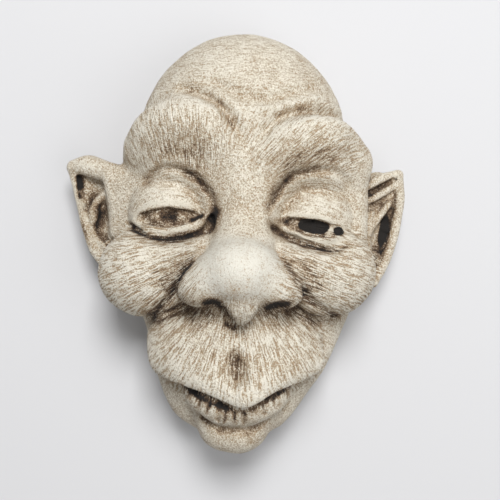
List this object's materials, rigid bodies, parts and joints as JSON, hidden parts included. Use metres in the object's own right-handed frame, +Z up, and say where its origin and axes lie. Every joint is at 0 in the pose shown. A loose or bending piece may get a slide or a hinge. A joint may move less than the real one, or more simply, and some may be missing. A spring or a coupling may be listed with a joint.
{
  "type": "stone face wall hanging",
  "caption": "Cast stone goblin face with pointed ears, heavy brows, round cheeks and pursed lips, flat at the back with a nail slot to hang on a wall.",
  "frame": {"origin": "on the flat back, in the middle of the head at the height of the cheeks", "axes": "+Y into the wall, so the face looks along -Y; +Z up the wall; +X to the right of someone who looks at the face"},
  "size_m": [0.1349, 0.0745, 0.163],
  "materials": {
    "washed_cream_stone": "matt cream stone, combed with fine strokes, with a brown wash left in its hollows"
  },
  "bodies": {
    "root": {"stone_face": "washed_cream_stone"}
  },
  "joints": []
}
